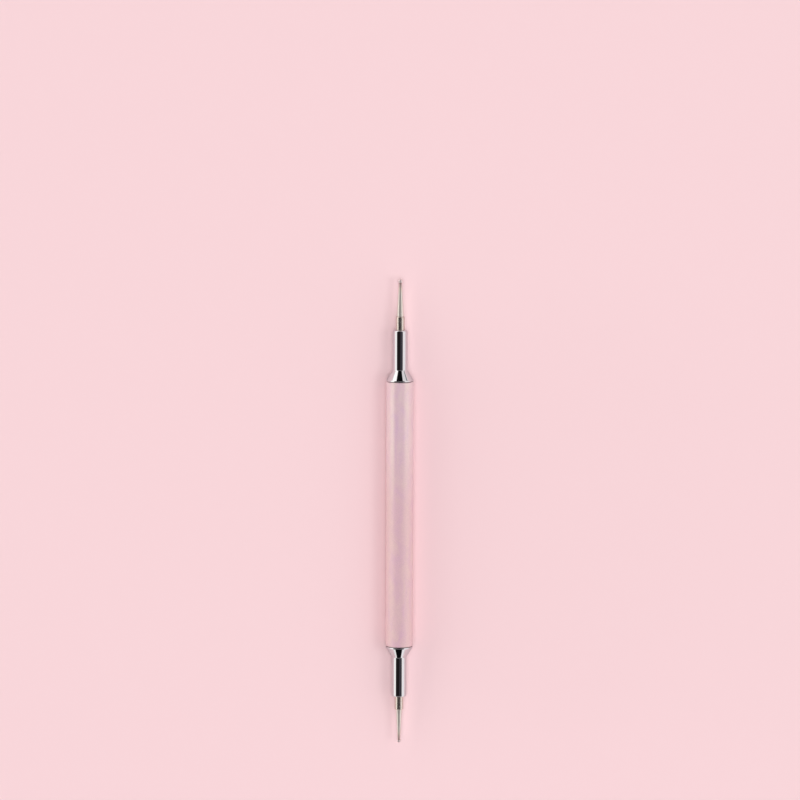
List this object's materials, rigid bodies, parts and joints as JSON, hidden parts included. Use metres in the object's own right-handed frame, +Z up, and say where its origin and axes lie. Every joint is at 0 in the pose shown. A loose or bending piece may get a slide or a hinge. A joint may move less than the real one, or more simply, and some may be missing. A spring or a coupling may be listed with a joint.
{
  "type": "dotting tool",
  "caption": "Slim round dotting stylus: a pearly barrel with, at either end, a flared chrome ferrule, a collar and a tapered needle whose ball tip places dots of polish or paint.",
  "frame": {"origin": "on the table, under the middle of the tool's length, as the tool lies on its side", "axes": "+Y along the tool towards its larger ball, +Z up from the table, +X to the right"},
  "size_m": [0.0058, 0.1006, 0.0058],
  "materials": {
    "pearl_acrylic": "pearlescent pink acrylic, polished",
    "chrome": "bright chrome plate",
    "nickel": "nickel plate",
    "steel": "polished stainless steel"
  },
  "bodies": {
    "root": {"barrel": "pearl_acrylic", "large_end_ferrule": "chrome", "large_end_plug": "steel", "large_end_collar": "nickel", "large_end_needle": "steel", "large_end_ball": "steel", "small_end_ferrule": "chrome", "small_end_plug": "steel", "small_end_collar": "nickel", "small_end_needle": "steel", "small_end_ball": "steel"}
  },
  "joints": []
}
